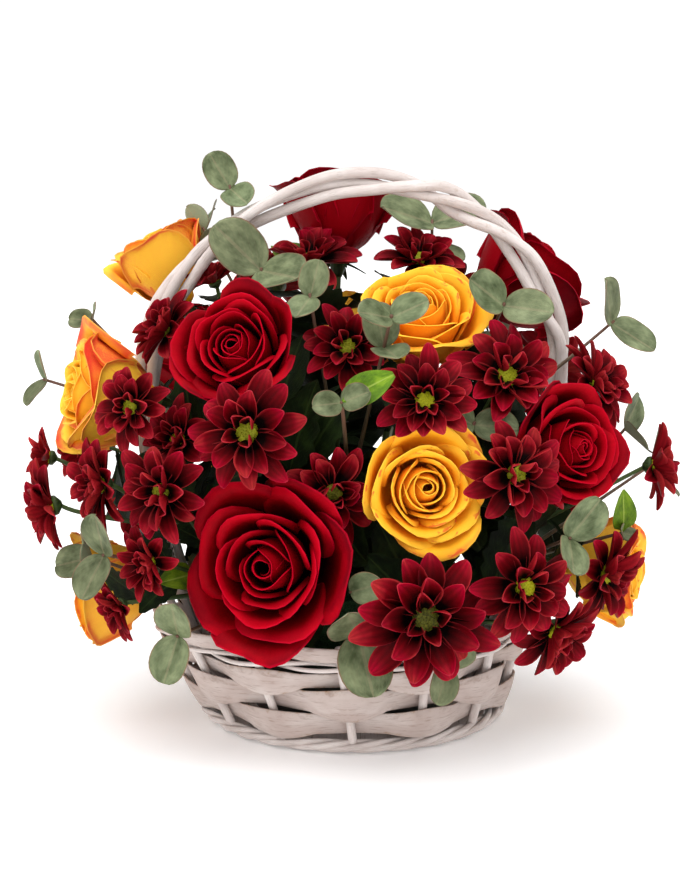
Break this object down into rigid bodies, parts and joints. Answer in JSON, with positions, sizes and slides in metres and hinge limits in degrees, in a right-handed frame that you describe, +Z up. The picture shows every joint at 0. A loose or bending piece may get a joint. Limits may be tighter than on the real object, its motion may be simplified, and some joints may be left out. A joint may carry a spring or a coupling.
{
  "type": "flower basket arrangement",
  "caption": "Round whitewashed woven basket with an arched handle, filled with red and yellow roses, burgundy spray chrysanthemums and eucalyptus in floral foam.",
  "frame": {"origin": "centre of the flat underside of the basket's base, on the surface that it stands on", "axes": "+Z up, -Y towards the front of the arrangement, +X to the right as seen from the front"},
  "size_m": [0.3606, 0.2973, 0.3051],
  "materials": {
    "willow": "whitewashed peeled willow, satin, worn through to tan in places",
    "chip": "whitewashed wood chip with its grain showing",
    "board": "thin plywood, pale, matt",
    "liner": "dark green film",
    "foam": "wet floral foam, dull",
    "rose_red": "velvety deep crimson petals",
    "rose_yellow": "golden petals with orange and red edges",
    "chrysanthemum": "burgundy petals with paler edges, yellow-green discs",
    "stem": "green stems, hips and sepals",
    "leaf": "waxy grey-green leaves with reddish edges"
  },
  "bodies": {
    "root": {"base_board": "board", "stakes_and_foot": "willow", "chip_row_lower": "chip", "chip_row_middle": "chip", "chip_row_upper": "chip", "chip_row_rim": "chip", "rim_weaver_1": "willow", "rim_weaver_2": "willow", "handle_rod_1": "willow", "handle_rod_2": "willow", "handle_rod_3": "willow", "liner": "liner", "foam_block": "foam", "rose_red_1": "rose_red", "rose_red_2": "rose_red", "rose_red_3": "rose_red", "rose_red_4": "rose_red", "rose_red_5": "rose_red", "rose_red_6": "rose_red", "rose_red_7": "rose_red", "rose_yellow_1": "rose_yellow", "rose_yellow_2": "rose_yellow", "rose_yellow_3": "rose_yellow", "rose_yellow_4": "rose_yellow", "rose_yellow_5": "rose_yellow", "rose_yellow_6": "rose_yellow", "rose_yellow_7": "rose_yellow", "rose_yellow_8": "rose_yellow", "rose_red_1_stem": "stem", "rose_red_2_stem": "stem", "rose_red_3_stem": "stem", "rose_red_4_stem": "stem", "rose_red_5_stem": "stem", "rose_red_6_stem": "stem", "rose_red_7_stem": "stem", "rose_yellow_1_stem": "stem", "rose_yellow_2_stem": "stem", "rose_yellow_3_stem": "stem", "rose_yellow_4_stem": "stem", "rose_yellow_5_stem": "stem", "rose_yellow_6_stem": "stem", "rose_yellow_7_stem": "stem", "rose_yellow_8_stem": "stem", "chrysanthemum_spray_1": "chrysanthemum", "chrysanthemum_spray_2": "chrysanthemum", "chrysanthemum_spray_3": "chrysanthemum", "chrysanthemum_spray_4": "chrysanthemum", "chrysanthemum_spray_5": "chrysanthemum", "chrysanthemum_spray_6": "chrysanthemum", "chrysanthemum_spray_7": "chrysanthemum", "chrysanthemum_spray_8": "chrysanthemum", "chrysanthemum_spray_9": "chrysanthemum", "chrysanthemum_spray_10": "chrysanthemum", "eucalyptus_sprig_1": "leaf", "eucalyptus_sprig_2": "leaf", "eucalyptus_sprig_3": "leaf", "eucalyptus_sprig_4": "leaf", "eucalyptus_sprig_5": "leaf", "eucalyptus_sprig_6": "leaf", "eucalyptus_sprig_7": "leaf"}
  },
  "joints": []
}
